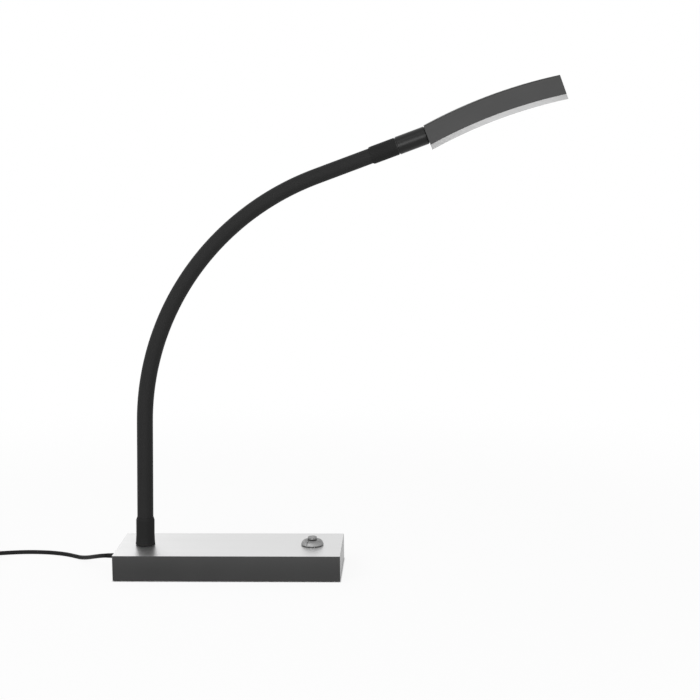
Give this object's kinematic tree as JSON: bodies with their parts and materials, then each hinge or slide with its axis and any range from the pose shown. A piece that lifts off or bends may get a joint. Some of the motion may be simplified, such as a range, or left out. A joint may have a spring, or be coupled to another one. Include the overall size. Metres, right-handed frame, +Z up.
{
  "type": "gooseneck desk lamp",
  "caption": "Desk lamp with a flat weighted base, a bendable sleeved gooseneck, a swivelling bowed light head and a push-button dimmer dial.",
  "frame": {"origin": "centre of the base's underside, on the desk", "axes": "+Z up, +X along the base from the neck's end towards the dial, which is the way the head reaches, +Y away from the viewer"},
  "size_m": [0.6118, 0.1147, 0.4355],
  "materials": {
    "base_paint": "dark grey satin powder coat",
    "brushed_top": "light aluminium, brushed along its length",
    "steel_part": "zinc-plated steel",
    "ballast_iron": "bare cast iron",
    "foot_foam": "matte black rubber foam",
    "board_green": "green circuit board",
    "board_white": "aluminium-cored board with white solder mask",
    "part_black": "black moulded electrical parts",
    "satin_metal": "satin turned aluminium, grey",
    "sleeve_rubber": "matte black silicone rubber sleeve",
    "cuff_rubber": "matte black moulded rubber",
    "core_steel": "bright steel core",
    "barrel_black": "black anodised, satin to glossy",
    "washer_black": "black nylon",
    "head_anodised": "dark grey satin anodised",
    "heat_metal": "plain milled aluminium",
    "lamp_lens": "pale yellow lamp faces",
    "light_frosted": "frosted white diffusing plastic",
    "cord_black": "matte black cord jacket",
    "supply_black": "fine-grained black moulded plastic",
    "pin_metal": "nickel-plated pins"
  },
  "bodies": {
    "base": {"foot_pad": "foot_foam", "bottom_plate": "steel_part", "base_screws": "steel_part", "ballast": "ballast_iron", "base_housing": "base_paint", "top_sheet": "brushed_top", "dimmer_board": "board_green", "board_parts": "part_black", "board_screws": "steel_part", "dimmer_body": "part_black", "dimmer_nut": "steel_part", "cord_gland": "cord_black", "neck_ferrule": "core_steel", "neck_washer": "steel_part", "neck_nut": "steel_part", "lower_cuff": "cuff_rubber", "core_foot": "core_steel", "sleeve_foot": "sleeve_rubber", "cord_lead": "cord_black", "cord_coil": "cord_black", "supply_case": "supply_black", "supply_cover": "supply_black", "supply_pins": "pin_metal"},
    "dial": {"dial": "satin_metal", "dial_shaft": "satin_metal"},
    "button": {"power_button": "satin_metal"},
    "link_1": {"neck_core_1": "core_steel", "neck_sleeve_1": "sleeve_rubber"},
    "link_2": {"neck_core_2": "core_steel", "neck_sleeve_2": "sleeve_rubber"},
    "link_3": {"neck_core_3": "core_steel", "neck_sleeve_3": "sleeve_rubber"},
    "link_4": {"neck_core_4": "core_steel", "neck_sleeve_4": "sleeve_rubber"},
    "link_5": {"neck_core_5": "core_steel", "neck_sleeve_5": "sleeve_rubber"},
    "link_6": {"neck_core_6": "core_steel", "neck_sleeve_6": "sleeve_rubber"},
    "link_7": {"neck_core_7": "core_steel", "neck_sleeve_7": "sleeve_rubber"},
    "link_8": {"neck_core_8": "core_steel", "neck_sleeve_8": "sleeve_rubber"},
    "link_9": {"neck_core_9": "core_steel", "neck_sleeve_9": "sleeve_rubber"},
    "neck_end": {"core_end": "core_steel", "sleeve_end": "sleeve_rubber", "upper_cuff": "cuff_rubber", "top_ferrule": "core_steel", "spigot_ring": "steel_part", "swivel_washer": "washer_black"},
    "head": {"barrel": "barrel_black", "barrel_washer": "washer_black", "barrel_nut": "steel_part", "head_housing": "head_anodised", "heat_bar": "heat_metal", "led_board": "board_white", "leds": "lamp_lens", "head_screws": "steel_part", "light_plate": "light_frosted"}
  },
  "joints": [
    {"name": "neck_bend_1", "type": "hinge", "parent": "base", "child": "link_1", "pos_m": [-0.07501, 0, 0.09993], "axis": [0, 1, 0], "range_deg": [-25, 14]},
    {"name": "neck_sway_1", "type": "hinge", "parent": "link_1", "child": "link_2", "pos_m": [-0.07426, 0, 0.13517], "axis": [0.9998, 0, -0.0213], "range_deg": [-20, 20]},
    {"name": "neck_bend_2", "type": "hinge", "parent": "link_2", "child": "link_3", "pos_m": [-0.07087, 0, 0.17023], "axis": [0, 1, 0], "range_deg": [-25, 14]},
    {"name": "neck_sway_2", "type": "hinge", "parent": "link_3", "child": "link_4", "pos_m": [-0.06229, 0, 0.20438], "axis": [-0.9488, 0, 0.3159], "range_deg": [-20, 20]},
    {"name": "neck_bend_3", "type": "hinge", "parent": "link_4", "child": "link_5", "pos_m": [-0.04869, 0, 0.23686], "axis": [0, 1, 0], "range_deg": [-25, 14]},
    {"name": "neck_sway_3", "type": "hinge", "parent": "link_5", "child": "link_6", "pos_m": [-0.03039, 0, 0.26695], "axis": [0.813, 0, -0.5823], "range_deg": [-20, 20]},
    {"name": "neck_bend_4", "type": "hinge", "parent": "link_6", "child": "link_7", "pos_m": [-0.00779, 0, 0.29396], "axis": [0, 1, 0], "range_deg": [-25, 14]},
    {"name": "neck_sway_4", "type": "hinge", "parent": "link_7", "child": "link_8", "pos_m": [0.01858, 0, 0.31729], "axis": [-0.6045, 0, 0.7966], "range_deg": [-20, 20]},
    {"name": "neck_bend_5", "type": "hinge", "parent": "link_8", "child": "link_9", "pos_m": [0.04815, 0, 0.33642], "axis": [0, 1, 0], "range_deg": [-25, 14]},
    {"name": "neck_sway_5", "type": "hinge", "parent": "link_9", "child": "neck_end", "pos_m": [0.08024, 0, 0.35091], "axis": [0.342, 0, -0.9397], "range_deg": [-20, 20]},
    {"name": "head_swivel", "type": "hinge", "parent": "neck_end", "child": "head", "pos_m": [0.15636, 0, 0.37861], "axis": [0.9397, 0, 0.342], "range_deg": [-90, 90]},
    {"name": "dial_turn", "type": "hinge", "parent": "base", "child": "dial", "pos_m": [0.0735, 0, 0.0246], "axis": [0, 0, 1], "range_deg": [-150, 150]},
    {"name": "button_press", "type": "slide", "parent": "base", "child": "button", "axis": [0, 0, -1], "range_m": [0, 0.0005], "stiffness_N_per_m": 800, "springref_m": -0.0005}
  ]
}
